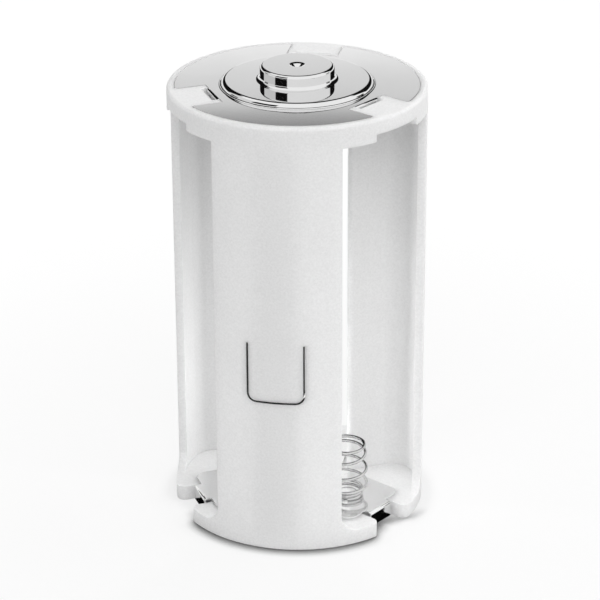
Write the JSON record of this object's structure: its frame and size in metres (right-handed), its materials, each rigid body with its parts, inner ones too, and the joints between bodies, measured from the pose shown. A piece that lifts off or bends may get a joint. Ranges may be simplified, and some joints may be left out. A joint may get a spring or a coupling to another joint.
{
  "type": "three-cell parallel battery holder",
  "caption": "Round cage the size of a large dry cell that holds slim cells side by side on springs and joins them in parallel between pressed end contacts.",
  "frame": {"origin": "middle of the underside of the base, on the holder's long axis", "axes": "+Z along the holder's axis towards the positive button; -Y through the middle of one wall; the first bay opens towards +X and a little -Y"},
  "size_m": [0.0334, 0.0334, 0.0613],
  "materials": {
    "cage": "fine spark-eroded grain",
    "contact_plate": "nickel plated, satin flats and bright bends",
    "spring_wire": "bright nickel plated wire"
  },
  "bodies": {
    "holder": {"holder_body": "cage", "positive_plate": "contact_plate", "negative_plate": "contact_plate"},
    "spring_1": {"cell_spring_1": "spring_wire"},
    "spring_2": {"cell_spring_2": "spring_wire"},
    "spring_3": {"cell_spring_3": "spring_wire"}
  },
  "joints": [
    {"name": "spring_1_press", "type": "slide", "parent": "holder", "child": "spring_1", "axis": [0, 0, 1], "range_m": [-0.0048, 0], "stiffness_N_per_m": 520, "deforming": ["cell_spring_1"]},
    {"name": "spring_2_press", "type": "slide", "parent": "holder", "child": "spring_2", "axis": [0, 0, 1], "range_m": [-0.0048, 0], "stiffness_N_per_m": 520, "deforming": ["cell_spring_2"]},
    {"name": "spring_3_press", "type": "slide", "parent": "holder", "child": "spring_3", "axis": [0, 0, 1], "range_m": [-0.0048, 0], "stiffness_N_per_m": 520, "deforming": ["cell_spring_3"]}
  ]
}
